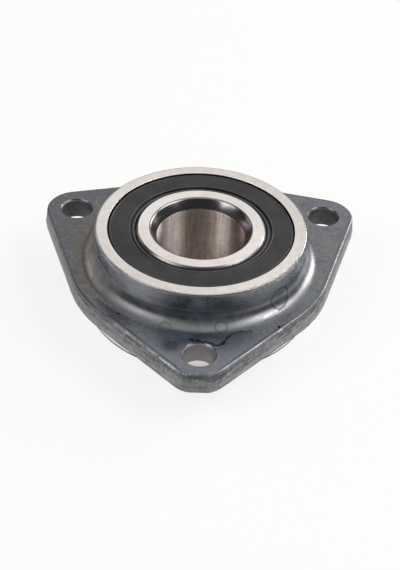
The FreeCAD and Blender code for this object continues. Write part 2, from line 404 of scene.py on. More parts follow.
@dataclass(frozen=True)
class Weather:
    """The noises that a worn surface is made of, each from 0 to 1.

    Attributes:
        cloud: Broad changes of tone.
        blotch: Patches a few millimetres wide.
        mottle: Patches about a millimetre wide.
        grit: The finest grain.
        streak: Level streaks along the walls.
    """

    cloud: Wire
    blotch: Wire
    mottle: Wire
    grit: Wire
    streak: Wire

    @classmethod
    def over(cls, graph: Graph, place: Wire) -> "Weather":
        """Adds the noises to a material.

        Args:
            graph: The material's graph.
            place: The point on the surface, in millimetres.

        Returns:
            The noises.
        """
        x, y, z = graph.axes(place)
        return cls(
            cloud=graph.grain(place, 13.0, 4.0, 0.6),
            blotch=graph.grain(place, 4.0, 5.0, 0.62),
            mottle=graph.grain(place, 1.2, 4.0, 0.65),
            grit=graph.grain(place, 0.35, 2.0, 0.6),
            streak=graph.grain(graph.vector(x * 0.08, y * 0.08, z), 0.6, 4.0, 0.65).rise(0.38, 0.62),
        )


@dataclass(frozen=True)
class Zones:
    """Where the forging's regions are, each from 0 to 1.

    Attributes:
        left: The left half, which is browner.
        foot: The ring where the fillet runs out on the flange.
        neck: Painted shade: a dull dark band on the boss's foot just above the fillet, at the front.
        calm: The left and the front, where the fillet is less glossy.
        fillet: The fillet between the boss and the flange.
        boss: The boss's wall.
        silver: The boss's wall at the front left, which is paler.
        ridge: The flange's wall beside the parting line.
        brow: The flange's wall close to its upper edge.
        front: The front ear's upper face.
        nose: The front ear's tip.
        wall: The whole of the flange's wall.
    """

    left: Wire
    foot: Wire
    neck: Wire
    calm: Wire
    fillet: Wire
    boss: Wire
    silver: Wire
    ridge: Wire
    brow: Wire
    front: Wire
    nose: Wire
    wall: Wire

    @classmethod
    def over(cls, graph: Graph, place: Wire) -> "Zones":
        """Finds the regions.

        Args:
            graph: The material's graph.
            place: The point on the surface, in millimetres.

        Returns:
            The regions.
        """
        x, y, z = graph.axes(place)
        radius = graph.vector(x, y, 0.0).length()
        boss = radius.rise(30.5, 30.2) * z.rise(9.0, 10.5)
        # Painted shade on the boss's foot at the front, just above the fillet.
        neck = radius.rise(31.2, 30.5) * z.within(8.3, 10.2, 0.7)
        return cls(
            left=(x * -0.03 + y * 0.012).rise(0.1, 0.95),
            foot=radius.within(33.0, 36.0, 2.5),
            neck=neck * x.rise(22.0, 6.0) * x.rise(-32.0, -20.0),
            calm=x.rise(20.0, -2.0),
            fillet=radius.within(30.4, 32.6, 0.9) * z.within(6.35, 11.0, 0.8),
            boss=boss,
            silver=boss * (x * -0.9 + y * -0.45).rise(19.0, 28.0),
            ridge=z.within(1.0, 2.1, 0.5),
            brow=z.rise(3.6, 5.2),
            front=y.rise(-30.0, -38.0) * z.rise(5.0, 6.0),
            nose=y.rise(-46.5, -49.0),
            wall=graph.attribute("wall"),
        )


@dataclass(frozen=True)
class ForgedSkin:
    """Dark forged steel: slate scale with brown bloom, handling marks, oil and bright worn edges."""

    name: str = "forged_skin"
    slate: Colour = (0.024, 0.030, 0.040)
    umber: Colour = (0.050, 0.038, 0.030)
    blue: Colour = (0.050, 0.062, 0.085)
    bloom: Colour = (0.135, 0.130, 0.130)
    # Partly a brown rust tint, partly painted light that lightens the left fillet.
    rust_and_painted_light: Colour = (0.195, 0.150, 0.135)
    soot: Colour = (0.004, 0.004, 0.005)
    silver: Colour = (0.170, 0.182, 0.200)
    pale: Colour = (0.190, 0.188, 0.190)
    bare: Colour = (0.74, 0.72, 0.70)
    roughness: float = 0.26
    ior: float = 2.35
    relief: float = 0.035
    grime_and_shade_roughness: float = 0.62
    grime_and_shade_ior: float = 1.2
    grime_and_shade_relief: float = 0.05
    wobble_scale: float = 1.1
    stain_wander: float = 2.2
    mark_wander: float = 0.3
    stains: tuple[Mark, ...] = (
        Stroke(
            on_flange((-2.7, -36.3), (-0.9, -36.7), (1.2, -37.1), (3.0, -37.6))
            + on_flange((4.6, -38.35), (5.85, -38.0), (6.9, -36.4), (7.8, -34.6)),
            width=0.6,
            soft=0.35,
            strength=0.95,
        ),
        Stroke(
            on_flange((7.8, -34.6), (9.1, -33.4), (11.3, -32.4), (13.95, -32.3)),
            width=0.5,
            soft=0.3,
            broken=0.5,
        ),
        Spot((22.2, -21.3, 8.6), 2.2, 1.2, strength=0.3),
        Spot((-7.8, -39.2, FLANGE_TOP), 2.4, 1.5, strength=0.75, broken=0.3),
        Spot((-35.0, -9.4, FLANGE_TOP), 1.9, 1.6, strength=0.6, broken=0.35),
        Spot((-33.3, -13.3, FLANGE_TOP), 1.9, 1.6, strength=0.65, broken=0.35),
        Spot((-31.2, -17.3, FLANGE_TOP), 1.9, 1.6, strength=0.6, broken=0.35),
    )
    prints: tuple[Mark, ...] = (
        Spot((5.93, -31.6, 6.8), 1.65, 0.25, ring_width=0.25, strength=0.48),
        Spot((-9.36, -31.9, 6.33), 1.65, 0.3, ring_width=0.25, strength=0.38),
        Stroke(
            (
                (23.6, -18.5, 11.4),
                (21.6, -20.8, 11.9),
                (20.1, -22.3, 10.6),
                (19.6, -23.3, 8.8),
                (20.6, -23.55, 7.5),
                (22.0, -23.5, 6.8),
                (23.4, -21.9, 6.9),
                (24.2, -19.6, 7.65),
                (24.2, -18.1, 9.3),
                (23.6, -18.5, 11.4),
            ),
            width=0.25,
            soft=0.38,
            strength=0.68,
        ),
        Spot((-22.1, -26.6, FLANGE_TOP), 0.42, 0.12),
        Spot((21.7, -30.0, FLANGE_TOP), 0.5, 0.15),
        Spot((14.1, -31.9, FLANGE_TOP), 0.25, 0.1),
        Spot((-40.5, 9.3, FLANGE_TOP), 2.2, 0.3, ring_width=0.4, strength=0.5),
    )
    scuffs: tuple[Mark, ...] = (
        Stroke(((17.8, -26.9, 6.8), (18.6, -25.8, 6.9)), 0.12, 0.25, 0.6),
        Stroke(((18.6, -26.3, 6.8), (19.9, -24.9, 7.0)), 0.12, 0.25, 0.5),
        Stroke(((20.6, -24.5, 7.0), (21.4, -23.7, 7.0)), 0.12, 0.25, 0.4),
        Stroke(((15.4, -27.6, 7.2), (16.2, -27.1, 7.2)), 0.2, 0.25, 0.2),
        Stroke(((-20.6, -21.8, 15.8), (-18.2, -23.8, 15.7)), 0.25, 0.3, 0.7, 0.8),
        Stroke(((-32.5, 0.3, 6.6), (-31.1, -8.0, 6.85), (-30.2, -11.7, 6.7)), 0.3, 0.6, 0.3, 0.6),
        Stroke(((-6.4, -48.2, 5.9), (-7.1, -47.1, 5.9), (-10.3, -43.9, 5.9)), 0.25, 0.25, 0.9, 0.6),
        Stroke(((22.7, -30.7, 6.0), (21.6, -31.8, 6.0)), 0.25, 0.2, 0.9),
        Stroke(((17.0, -36.7, 6.0), (15.2, -38.6, 6.0)), 0.2, 0.2, 0.7, 0.7),
        Spot((-4.1, -49.4, 5.55), 0.16, 0.14, strength=0.7),
        Spot((-3.2, -49.5, 5.6), 0.12, 0.12, strength=0.5),
        Spot((-2.3, -49.5, 5.7), 0.16, 0.14, strength=0.7),
        Spot((-0.5, -49.5, 5.8), 0.16, 0.14, strength=0.6),
        Spot((-4.6, -49.8, 4.1), 0.16, 0.14, strength=0.7),
        Spot((-0.4, -50.5, 4.2), 0.18, 0.14, strength=0.8),
    )

    def colour(self, graph: Graph, weather: Weather, zones: Zones, wall_tone: Wire) -> Wire:
        """Mixes the scale's colour.

        Args:
            graph: The material's graph.
            weather: The surface's noises.
            zones: The surface's regions.
            wall_tone: How pale the flange's wall is, from 0 to 1.

        Returns:
            The colour, without marks and worn edges.
        """
        streaks = weather.streak
        patches = (weather.blotch + 0.4 * (weather.mottle - 0.5)).rise(0.35, 0.65)
        brown = (zones.left * (0.3 + 0.8 * zones.foot) + (weather.cloud - 0.5) * 1.2).rise(0.3, 1.0)
        skin = graph.blend(self.slate, self.umber, brown)
        skin = graph.blend(skin, self.blue, zones.front * 0.8)
        # The rust colour here is partly a brown rust tint and partly painted light: it lightens the fillet
        # on the left.
        bloom = graph.blend(self.bloom, self.rust_and_painted_light, zones.left)
        skin = graph.blend(skin, bloom, zones.fillet * (patches * 0.35 + zones.left * 0.5))
        skin = graph.blend(skin, self.blue, zones.boss * (patches * 0.6 + streaks * 0.4))
        skin = graph.blend(skin, self.silver, zones.silver * (0.25 + 0.75 * streaks))
        skin = graph.blend(skin, self.pale, zones.wall * wall_tone)
        uneven = 1.0 - 0.6 * zones.fillet
        skin = skin * (1.0 + 0.8 * uneven * (patches - 0.5))
        return skin * (1.0 + 0.4 * uneven * (weather.grit.rise(0.3, 0.7) - 0.5))

    def grime_and_shade(self, graph: Graph, weather: Weather, zones: Zones, wall_tone: Wire, marks: Wire) -> Wire:
        """Finds where grime covers the scale, and where painted shade covers the boss's foot at the front.

        Args:
            graph: The material's graph.
            weather: The surface's noises.
            zones: The surface's regions.
            wall_tone: How pale the flange's wall is, from 0 to 1.
            marks: Where the dark marks are, from 0 to 1.

        Returns:
            How much of the surface it covers, from 0 to 1.
        """
        mottle = weather.mottle
        dull = weather.blotch * 0.45 + mottle * 0.45 + weather.grit * 0.1 + zones.left * 0.1
        dull = dull.rise(0.42, 0.66) * (0.5 - 0.45 * zones.fillet)
        # The band above the fillet at the front takes the dull coat as painted shade.
        dull = dull.most(zones.neck * 0.75).most(zones.nose * 0.5 * mottle)
        dull = dull.most(graph.attribute("crease") * (0.4 + 0.6 * mottle))
        return dull.most(zones.wall * (1.0 - wall_tone) * 0.6).most(marks)

    def worn(self, graph: Graph, weather: Weather, zones: Zones, scuffs: Wire) -> Wire:
        """Finds where the scale is worn or scratched off.

        Args:
            graph: The material's graph.
            weather: The surface's noises.
            zones: The surface's regions.
            scuffs: Where the scuffs are, from 0 to 1.

        Returns:
            How much bare steel shows, from 0 to 1.
        """
        grit, mottle = weather.grit, weather.mottle
        edges = graph.attribute("wear") + 0.5 * (grit - 0.5) + 0.5 * (mottle - 0.5)
        flecks = zones.nose * (grit * 0.6 + mottle * 0.5).rise(0.60, 0.72) * 0.4
        return scuffs.most(edges.rise(0.3, 0.95) * 0.75).most(flecks)

    def material(self) -> bpy.types.Material:
        """Makes the material.

        Returns:
            The material.
        """
        graph, material = Graph.of_material(self.name)
        place = graph.place()
        weather, zones = Weather.over(graph, place), Zones.over(graph, place)
        mottle, fillet = weather.mottle, zones.fillet
        tone = weather.streak * 0.6 + mottle.rise(0.35, 0.65) * 0.4 + zones.ridge * 0.35 - zones.brow * 0.35
        tone = tone.most(0.0).least(1.0)
        skin = self.colour(graph, weather, zones, tone)

        ways = {"Vector": place, "Scale": self.wobble_scale, "Detail": 3.0, "Roughness": 0.7}
        wobble = graph.node("ShaderNodeTexNoise", sockets=ways, output="Color") - 0.5
        wandering, scratched = place + wobble * self.stain_wander, place + wobble * self.mark_wander
        gaps = (weather.blotch * 0.5 + mottle * 0.5).rise(0.58, 0.44)
        marks = strongest(self.stains, wandering, gaps).most(strongest(self.prints, scratched, gaps))
        dull = self.grime_and_shade(graph, weather, zones, tone, marks)
        bright = self.worn(graph, weather, zones, strongest(self.scuffs, scratched, gaps))

        coarse = 1.0 + 2.0 * zones.nose + 1.0 * zones.wall - 0.7 * fillet
        relief = (weather.grit * 0.25 + mottle * 0.75) * coarse
        patina = 0.2 * (mottle - 0.5) * (1.0 - 0.6 * fillet) + 0.15 * (weather.cloud - 0.5)
        haze = 0.2 * zones.nose + 0.06 * zones.wall + fillet * (0.03 + 0.15 * zones.calm)
        scale = graph.shader(
            Base_Color=graph.blend(skin, self.bare, bright),
            Metallic=bright * 0.9,
            Roughness=self.roughness + patina + haze,
            IOR=self.ior,
            Normal=graph.bump(relief, self.relief),
        )
        # This dull coat is grime, and also the painted shade at the boss's foot.
        grime_and_shade = graph.shader(
            Base_Color=graph.blend(skin * 0.8, self.soot, marks),
            Roughness=self.grime_and_shade_roughness + 0.3 * (mottle - 0.5),
            IOR=self.grime_and_shade_ior,
            Normal=graph.bump(relief, self.grime_and_shade_relief),
        )
        graph.finish(graph.layer(scale, grime_and_shade, dull * (1.0 - bright)))
        return material


@dataclass(frozen=True)
class DrilledSteel:
    """The bolt holes' drilled walls: dull grey steel, faintly mottled, and made lighter towards the front.
    """

    name: str = "drilled_steel"
    dark: Colour = (0.075, 0.070, 0.068)
    light: Colour = (0.140, 0.134, 0.130)
    # The lighter colour that the walls take towards the front.
    plain: Colour = (0.270, 0.262, 0.258)
    front_from: Pair = (-20.0, -36.0)
    front_share: float = 0.75

    def material(self) -> bpy.types.Material:
        """Makes the material.

        Returns:
            The material.
        """
        graph, material = Graph.of_material(self.name)
        place = graph.place()
        x, y, z = graph.axes(place)
        rings = graph.grain(graph.vector(x * 0.05, y * 0.05, z), 0.25)
        mottle = graph.grain(place, 1.6, 4.0)
        wall = graph.blend(self.dark, self.light, (rings * 0.15 + mottle * 0.9).rise(0.3, 0.8))
        graph.surface(
            Base_Color=graph.blend(wall, self.plain, y.rise(*self.front_from) * self.front_share),
            Metallic=0.6,
            Roughness=0.5 + 0.2 * (mottle - 0.5),
            Normal=graph.bump(rings, 0.008),
        )
        return material


@dataclass(frozen=True)
class SealRubber:
    """Moulded black rubber with a fine matt grain and a little dust."""

    name: str = "seal_rubber"
    black: Colour = (0.0115, 0.011, 0.0125)
    grey: Colour = (0.033, 0.031, 0.033)
    dust: Colour = (0.16, 0.15, 0.15)
    roughness: float = 0.58

    def material(self) -> bpy.types.Material:
        """Makes the material.

        Returns:
            The material.
        """
        graph, material = Graph.of_material(self.name)
        place = graph.place()
        bloom = graph.grain(place, 6.0, 5.0, 0.6)
        grain = graph.grain(place, 0.18, 2.0)
        flecks = graph.grain(place, 0.5, 3.0, 0.7).rise(0.66, 0.73) * bloom.rise(0.42, 0.58)
        skin = graph.blend(self.black, self.grey, bloom.rise(0.3, 0.7))
        graph.surface(
            Base_Color=graph.blend(skin, self.dust, flecks * 0.7),
            Roughness=self.roughness + 0.35 * (bloom - 0.5) + 0.1 * (grain - 0.5),
            IOR=1.42,
            Normal=graph.bump(grain, 0.012),
        )
        return material


@dataclass(frozen=True)
class FilmedFinish:
    """A plain finish under soft clouds of grease or stain."""

    name: str
    plain: Colour
    filmed: Colour
    cloud_size: float
    cloud_detail: float
    film_edge: Pair
    roughness: float
    film_roughness: float
    relief: float
    grain_size: float = 0.0
    metallic: float = 0.0
    ior: float = 1.5

    def material(self) -> bpy.types.Material:
        """Makes the material.

        Returns:
            The material.
        """
        graph, material = Graph.of_material(self.name)
        place = graph.place()
        film = graph.grain(place, self.cloud_size, self.cloud_detail)
        grain = graph.grain(place, self.grain_size) if self.grain_size else film
        graph.surface(
            Base_Color=graph.blend(self.plain, self.filmed, film.rise(*self.film_edge)),
            Metallic=self.metallic,
            Roughness=self.roughness + self.film_roughness * film,
            IOR=self.ior,
            Normal=graph.bump(grain, self.relief),
        )
        return material


BALL_STEEL = FilmedFinish(
    name="ball_steel",
    plain=(0.76, 0.76, 0.77),
    filmed=(0.60, 0.57, 0.50),
    cloud_size=3.0,
    cloud_detail=4.0,
    film_edge=(0.4, 0.7),
    roughness=0.08,
    film_roughness=0.12,
    relief=0.002,
    metallic=1.0,
)
CAGE_POLYAMIDE = FilmedFinish(
    name="cage_polyamide",
    plain=(0.64, 0.58, 0.44),
    filmed=(0.48, 0.39, 0.25),
    cloud_size=5.0,
    cloud_detail=5.0,
    film_edge=(0.4, 0.75),
    roughness=0.4,
    film_roughness=0.15,
    relief=0.01,
    grain_size=0.3,
)
# Painted shade with a little grease: a near-black finish for the seal seats and the spigot's foot, standing
# in for the shade in those gaps.
SEAT_SHADE_AND_GREASE = FilmedFinish(
    name="seat_shade_and_grease",
    plain=(0.010, 0.009, 0.008),
    filmed=(0.030, 0.026, 0.022),
    cloud_size=1.5,
    cloud_detail=4.0,
    film_edge=(0.4, 0.7),
    roughness=0.35,
    film_roughness=0.3,
    relief=0.02,
    ior=1.4,
)


class PolarGrid:
    """A closed skin made of rings round the bearing's axis, in millimetres.

    Each ring has a radius and a height, which are numbers or vary with the angle.
    """

    weld: float = 1e-4 * MM

    def __init__(self, count: int) -> None:
        """Starts an empty grid.

        Args:
            count: How many points a ring has.
        """
        self.angles = np.arange(count) * (2 * math.pi / count)
        self.radii: list[np.ndarray] = []
        self.heights: list[np.ndarray] = []
        self.finishes: list[int] = []

    def ring(self, radius: Length, height: Length, finish: int = 0) -> int:
        """Adds a ring.

        Args:
            radius: Its radius.
            height: Its height.
            finish: Material slot of the strip that leads to it.

        Returns:
            The ring's place in the grid.
        """
        self.radii.append(np.broadcast_to(np.asarray(radius, float), self.angles.shape).copy())
        self.heights.append(np.broadcast_to(np.asarray(height, float), self.angles.shape).copy())
        self.finishes.append(finish)
        return len(self.radii) - 1

    def run(self, radius: Length, height: Length, steps: int, finish: int = 0) -> range:
        """Adds rings evenly from the last ring to a new one.

        Args:
            radius: The new ring's radius.
            height: The new ring's height.
            steps: How many rings to add.
            finish: Material slot of the strips.

        Returns:
            The places of the rings added.
        """
        first = len(self.radii)
        from_radius, from_height = self.radii[-1], self.heights[-1]
        for step in range(1, steps + 1):
            share = step / steps
            mid_radius = from_radius + (radius - from_radius) * share
            mid_height = from_height + (height - from_height) * share
            self.ring(mid_radius, mid_height, finish)
        return range(first, len(self.radii))

    def arc(self, centre: Pair, degrees: float, steps: int, finish: int = 0) -> range:
        """Adds rings along an arc that starts at the last ring.

        Args:
            centre: Radius and height of the arc's centre.
            degrees: How far it turns. A positive turn goes from outward to up.
            steps: How many rings to add.
            finish: Material slot of the strips.

        Returns:
            The places of the rings added.
        """
        first = len(self.radii)
        spoke = complex(self.radii[-1][0] - centre[0], self.heights[-1][0] - centre[1])
        for step in range(1, steps + 1):
            turned = spoke * np.exp(1j * math.radians(degrees) * step / steps)
            self.ring(centre[0] + turned.real, centre[1] + turned.imag, finish)
        return range(first, len(self.radii))

    def bow(
        self, radius: float, height: float, crown: float, steps: int, finish: int = 0, closing: bool = False
    ) -> None:
        """Adds rings along a line from the last ring that is crowned to the left of its way.

        Args:
            radius: The end's radius.
            height: The end's height.
            crown: How far the line bows out, as a share of its length.
            steps: How many strips it has.
            finish: Material slot of the strips.
            closing: Leaves out the end, where that is the grid's first ring.
        """
        start = complex(self.radii[-1][0], self.heights[-1][0])
        chord = complex(radius, height) - start
        for step in range(1, steps + (0 if closing else 1)):
            share = step / steps
            point = start + chord * (share + 4j * crown * share * (1 - share))
            self.ring(point.real, point.imag, finish)

    def bend(self, corner: Pair, end: Pair, steps: int, finish: int = 0) -> None:
        """Adds rings that round off a corner after the last ring.

        Args:
            corner: Radius and height of the corner.
            end: Radius and height where the rounding ends.
            steps: How many rings to add.
            finish: Material slot of the strips.
        """
        start = np.array((self.radii[-1][0], self.heights[-1][0]))
        for share in np.arange(1, steps + 1) / steps:
            before = start + (np.array(corner) - start) * share
            after = np.array(corner) + (np.array(end) - np.array(corner)) * share
            self.ring(*(before + (after - before) * share), finish)

    def points(self) -> np.ndarray:
        """Finds the grid's points.

        Returns:
            The points by angle, ring and axis, in millimetres.
        """
        radii, heights = np.stack(self.radii, 1), np.stack(self.heights, 1)
        turn = self.angles[:, None]
        return np.stack([radii * np.cos(turn), radii * np.sin(turn), heights], 2)

    def mesh(self, name: str, values: Mapping[str, np.ndarray] | None = None) -> bpy.types.Mesh:
        """Makes the skin.

        Args:
            name: The mesh's name.
            values: Arrays by angle and ring that the mesh carries as attributes.

        Returns:
            A closed mesh of quads, in metres.
        """
        count, rings = len(self.angles), len(self.radii)
        at = np.arange(count * rings).reshape(count, rings)
        beside, onward = np.roll(at, -1, 0), np.roll(at, -1, 1)
        quads = np.stack([at, beside, np.roll(beside, -1, 1), onward], 2)
        mesh = bpy.data.meshes.new(name)
        points = self.points().reshape(-1, 3) * MM
        mesh.from_pydata(points.tolist(), [], quads.reshape(-1, 4).tolist())
        mesh.polygons.foreach_set("material_index", np.tile(np.roll(self.finishes, -1), count))
        for key, array in (values or {}).items():
            layer = mesh.attributes.new(key, "FLOAT", "POINT")
            layer.data.foreach_set("value", array.astype(np.float32).ravel())
        shell = bmesh.new()
        shell.from_mesh(mesh)
        bmesh.ops.remove_doubles(shell, verts=shell.verts, dist=self.weld)
        bmesh.ops.recalc_face_normals(shell, faces=shell.faces)
        shell.to_mesh(mesh)
        shell.free()
        return mesh


@dataclass(frozen=True)
class Rumple:
    """Smooth noise over a surface. Millimetres, and a shift that sets one noise apart from another."""

    size: float
    height: float
    shift: float = 0.0

    def at(self, points: np.ndarray) -> np.ndarray:
        """Finds the noise at many points.

        Args:
            points: The points, with the axes last.

        Returns:
            The noise at each point, as high and as low as its height.
        """
        flat = points.reshape(-1, 3) / self.size + self.shift
        values = [noise.noise(point) for point in flat.tolist()]
        return self.height * np.array(values).reshape(points.shape[:-1])


def shade(piece: bpy.types.Object, sharp_degrees: float) -> None:
    """Shades a piece smooth, apart from edges that turn by more than the sharp angle."""
    piece.data.shade_smooth()
    piece.data.set_sharp_from_angle(angle=math.radians(sharp_degrees))


def place_piece(
    name: str,
    grid: PolarGrid,
    finishes: Sequence[Finish],
    body: str,
    node: str,
    values: Mapping[str, np.ndarray] | None = None,
) -> bpy.types.Object:
    """Puts a piece in the scene in place of a CAD node.

    Args:
        name: The piece's name.
        grid: Its skin, in the shared frame.
        finishes: Its finishes, in slot order.
        body: The CAD body that it rides on.
        node: The CAD node that it stands for.
        values: Arrays by angle and ring that the mesh carries as attributes.

    Returns:
        The piece.
    """
    mesh = grid.mesh(name, values)
    for finish in finishes:
        mesh.materials.append(finish.material())
    piece = bpy.data.objects.new(name, mesh)
    bpy.context.scene.collection.objects.link(piece)
    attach(piece, body)
    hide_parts(node)
    LOG.info("%s: %d faces", name, len(mesh.polygons))
    return piece


class Row(IntEnum):
    """The two rows of balls. The value is the way from the bearing's middle to the row."""

    UPPER = 1
    LOWER = -1


class Race(IntEnum):
    """The two rings that a ball runs between. The value is the way from the ball to the ring."""

    INNER = -1
    OUTER = 1


@dataclass(frozen=True)
class Raceways:
    """The sizes of the two rows that both rings share, in millimetres."""

    middle: float = (TOP + BOTTOM) / 2
    row_offset: float = 4.9
    pitch_radius: float = 21.9
    ball_radius: float = 4.5
    groove_radius: float = 4.68
    running_gap: float = 0.08
    contact_degrees: float = 25.0
    groove_steps: int = 8

    def groove(self, race: Race, row: Row) -> Pair:
        """Centre of a groove's arc.

        Args:
            race: The ring that it is in.
            row: The row that it carries.

        Returns:
            The centre's radius and height.
        """
        slack = self.groove_radius - self.ball_radius - self.running_gap
        contact = math.radians(self.contact_degrees)
        height = self.middle + row * (self.row_offset + race * slack * math.sin(contact))
        return self.pitch_radius - race * slack * math.cos(contact), height

    def cut(self, grid: PolarGrid, race: Race, row: Row, ends: Pair, finish: int) -> None:
        """Draws one groove into a grid.

        Args:
            grid: The grid.
            race: The ring that it is in.
            row: The row that it carries.
            ends: Radii of the shoulders where the arc starts and ends.
            finish: Material slot of the groove.
        """
        radius, height = self.groove(race, row)
        reach = [math.sqrt(self.groove_radius**2 - (end - radius) ** 2) for end in ends]
        first = math.atan2(-race * reach[0], ends[0] - radius)
        last = math.atan2(race * reach[1], ends[1] - radius)
        turn = math.degrees((last - first + math.pi) % (2 * math.pi) - math.pi)
        grid.ring(ends[0], height - race * reach[0], finish)
        grid.arc((radius, height), turn, self.groove_steps, finish)


class Coat(IntEnum):
    """Material slots of the flanged ring."""

    FORGED = 0
    GROUND = 1
    DRILLED = 2
    # Painted shade with a little grease: the near-black finish of the seal seats and the spigot's foot.
    SEAT = 3
    CHAMFER = 4
    SPIGOT = 5


@dataclass(frozen=True)
class FlangeRings:
    """Places in the grid of the rings that the forging's marks follow."""

    crease: Sequence[int]
    rim: Sequence[int]
    wall: Sequence[int]
    parting: int


@dataclass(frozen=True)
class Stretch:
    """A stretch of an edge between two polar angles, with how worn it is."""

    start: float
    end: float
    strength: float
    soft: float = 4.0

    def along(self, angles: np.ndarray) -> np.ndarray:
        """How worn the edge is at each angle.

        Args:
            angles: Polar angles in radians.

        Returns:
            The wear, which fades at the stretch's ends.
        """
        middle, half = (self.start + self.end) / 2, (self.end - self.start) / 2
        away = np.abs((np.degrees(angles) - middle + 180) % 360 - 180)
        return self.strength * np.clip((half + self.soft - away) / self.soft, 0, 1)


@dataclass
class FlangedOuterRing:
    """The outer ring with its boss, flange and spigot, forged and turned in one piece. Millimetres."""

    raceways: Raceways
    top: float = TOP
    bottom: float = BOTTOM
    mouth_radius: float = 26.5
    mouth_depth: float = 0.8
    seat_radius: float = 27.2
    seat_taper: float = 0.23
    ledge_depth: float = 2.2
    high_shoulder: float = 24.2
    low_shoulder: float = 25.1
    boss_radius: float = 30.0
    boss_corner: float = 0.5
    boss_fillet: float = 4.5
    spigot_radius: float = 32.25
    spigot_chamfer: float = 0.15
    # Height of a band of painted shade at the spigot's foot, above its chamfer.
    spigot_shade_band: float = 0.4
    thickness: float = FLANGE_TOP
    disc_radius: float = 37.5
    ear_radius: float = 8.75
    ear_degrees: tuple[float, ...] = (-90.0, 30.0, 150.0)
    bolt_circle: float = 42.15
    hole_radius: float = 4.3
    hole_chamfer: float = 0.5
    chamfer_dirt: float = 0.55
    hole_sides: int = 96
    cutter_past: float = 1.0
    parting: float = 1.8
    draft: float = math.tan(math.radians(5.0))
    rim: float = 0.45
    lower_edge: float = 0.15
    flash_width: float = 0.22
    nose_tip: float = 50.5
    nose_roll: float = 3.0
    nose_crown: float = 14.01
    nose_setback: float = 8.0
    nose_half_sweep: float = 50.0
    face_steps: int = 20
    rim_steps: int = 5
    wall_steps: int = 9
    wall_foot_steps: int = 4
    edge_break: float = 0.03
    crease_insets: tuple[float, ...] = (1.35, 1.0, 0.7)
    wall_lumps: tuple[Rumple, ...] = (Rumple(1.4, 0.05), Rumple(0.5, 0.03, 7.3))
    flash: Rumple = Rumple(1.6, 0.14, 3.1)
    flash_reach: float = 0.08
    flash_dip: float = 0.056
    pebbles: Rumple = Rumple(0.9, 0.09, 5.7)
    pebbles_from: float = -46.5
    pebbles_fade: float = 2.0
    rim_dents: Rumple = Rumple(0.9, 0.06, 4.4)
    rim_patches: Rumple = Rumple(2.2, 0.35, 1.7)
    rim_wear: tuple[Stretch, ...] = (
        Stretch(-131, -97, 0.6),
        Stretch(-80, -52, 0.5),
        Stretch(-52, 24, 0.1),
        Stretch(156, 228, 0.2),
    )
    # How dark the thin line just inside the rim is, before wear adds to it.
    rim_line_darkening: float = 0.35
    chip_stretch: Stretch = Stretch(-60, -26, 1.0, 8.0)
    chips: Rumple = Rumple(0.8, 0.22, 9.1)
    chip_depth: float = 0.033
    corner_wear: Pair = (0.25, 0.55)
    edge_wear: Pair = (0.95, 0.55)
    scrape_wear: float = 0.5
    scrape_fade: float = 0.1
    scrapes: Rumple = Rumple(1.3, 0.6, 2.6)
    scraped_rings: int = 4
    count: int = 640
    sharp_degrees: float = 38.0
    finishes: tuple[Finish, ...] = (
        ForgedSkin(),
        GroundSteel(),
        DrilledSteel(),
        SEAT_SHADE_AND_GREASE,
        GroundSteel("chamfer_steel", (0.165, 0.165, 0.175), (0.09, 0.09, 0.09), 0.3, 0.3),
        GroundSteel("spigot_steel", (0.93, 0.91, 0.89), (0.78, 0.76, 0.74), 0.3, 0.5),
    )

    def outline(self, angles: np.ndarray, growth: Length) -> np.ndarray:
        """The flange's rim: ear arcs joined to the central disc by tangent lines, with the nose trimmed.

        Args:
            angles: Polar angles.
            growth: How far the rim stands outside the one at the flange's top.

        Returns:
            The rim's radius at each angle.
        """
        disc, ear = self.disc_radius + growth, self.ear_radius + growth
        ears = np.radians(self.ear_degrees)[:, None]
        away = np.abs((angles - ears + math.pi) % (2 * math.pi) - math.pi)
        nearest = away.min(0)
        spread = np.arccos((disc - ear) / self.bolt_circle)
        ear_end = np.arctan2(ear * np.sin(spread), self.bolt_circle + ear * np.cos(spread))
        inside = np.maximum(ear**2 - (self.bolt_circle * np.sin(nearest)) ** 2, 0)
        on_ear = self.bolt_circle * np.cos(nearest) + np.sqrt(inside)
        on_line = disc / np.cos(spread - np.minimum(nearest, spread))
        rim = np.where(nearest < ear_end, on_ear, on_line)
        tip = (self.nose_tip + np.minimum(growth, 0)) / np.maximum(np.cos(away[0]), 0.1)
        return np.minimum(rim, tip)

    def top_height(self, angles: np.ndarray, radius: np.ndarray) -> np.ndarray:
        """Height of the flange's upper face, which rolls off at the front ear's nose.

        Args:
            angles: Polar angles.
            radius: Polar radii.

        Returns:
            The height at each point.
        """
        x, y = radius * np.cos(angles), radius * np.sin(angles)
        ahead = -y - self.bolt_circle + self.nose_setback
        in_sector = np.abs(x) < ahead * math.tan(math.radians(self.nose_half_sweep))
        reach = np.where(in_sector, np.hypot(x, ahead), 0) - self.nose_crown
        drop = np.sqrt(np.maximum(self.nose_roll**2 - np.clip(reach, 0, None) ** 2, 0))
        return self.thickness - self.nose_roll + drop

    def wall_growth(self, height: Length) -> Length:
        """How far the drafted wall stands out at a height."""
        above = (self.thickness - np.maximum(height, self.parting)) * self.draft
        return above - np.maximum(self.parting - height, 0) * self.draft

    def seal_seat(self, grid: PolarGrid, end: float, row: Row) -> None:
        """Draws a seal seat, inwards at the bottom and outwards at the top.

        Args:
            grid: The grid.
            end: Height of the ring's end face.
            row: The row that the seat is beside.
        """
        stations = [
            (self.mouth_radius, end - row * self.edge_break),
            (self.mouth_radius, end - row * self.mouth_depth),
            (self.seat_radius, end - row * (self.mouth_depth + self.seat_taper)),
            (self.seat_radius, end - row * self.ledge_depth),
            (self.low_shoulder, end - row * self.ledge_depth),
        ]
        # The whole seat takes the near-black painted shade.
        for radius, height in stations[::-row]:
            grid.ring(radius, height, Coat.SEAT)

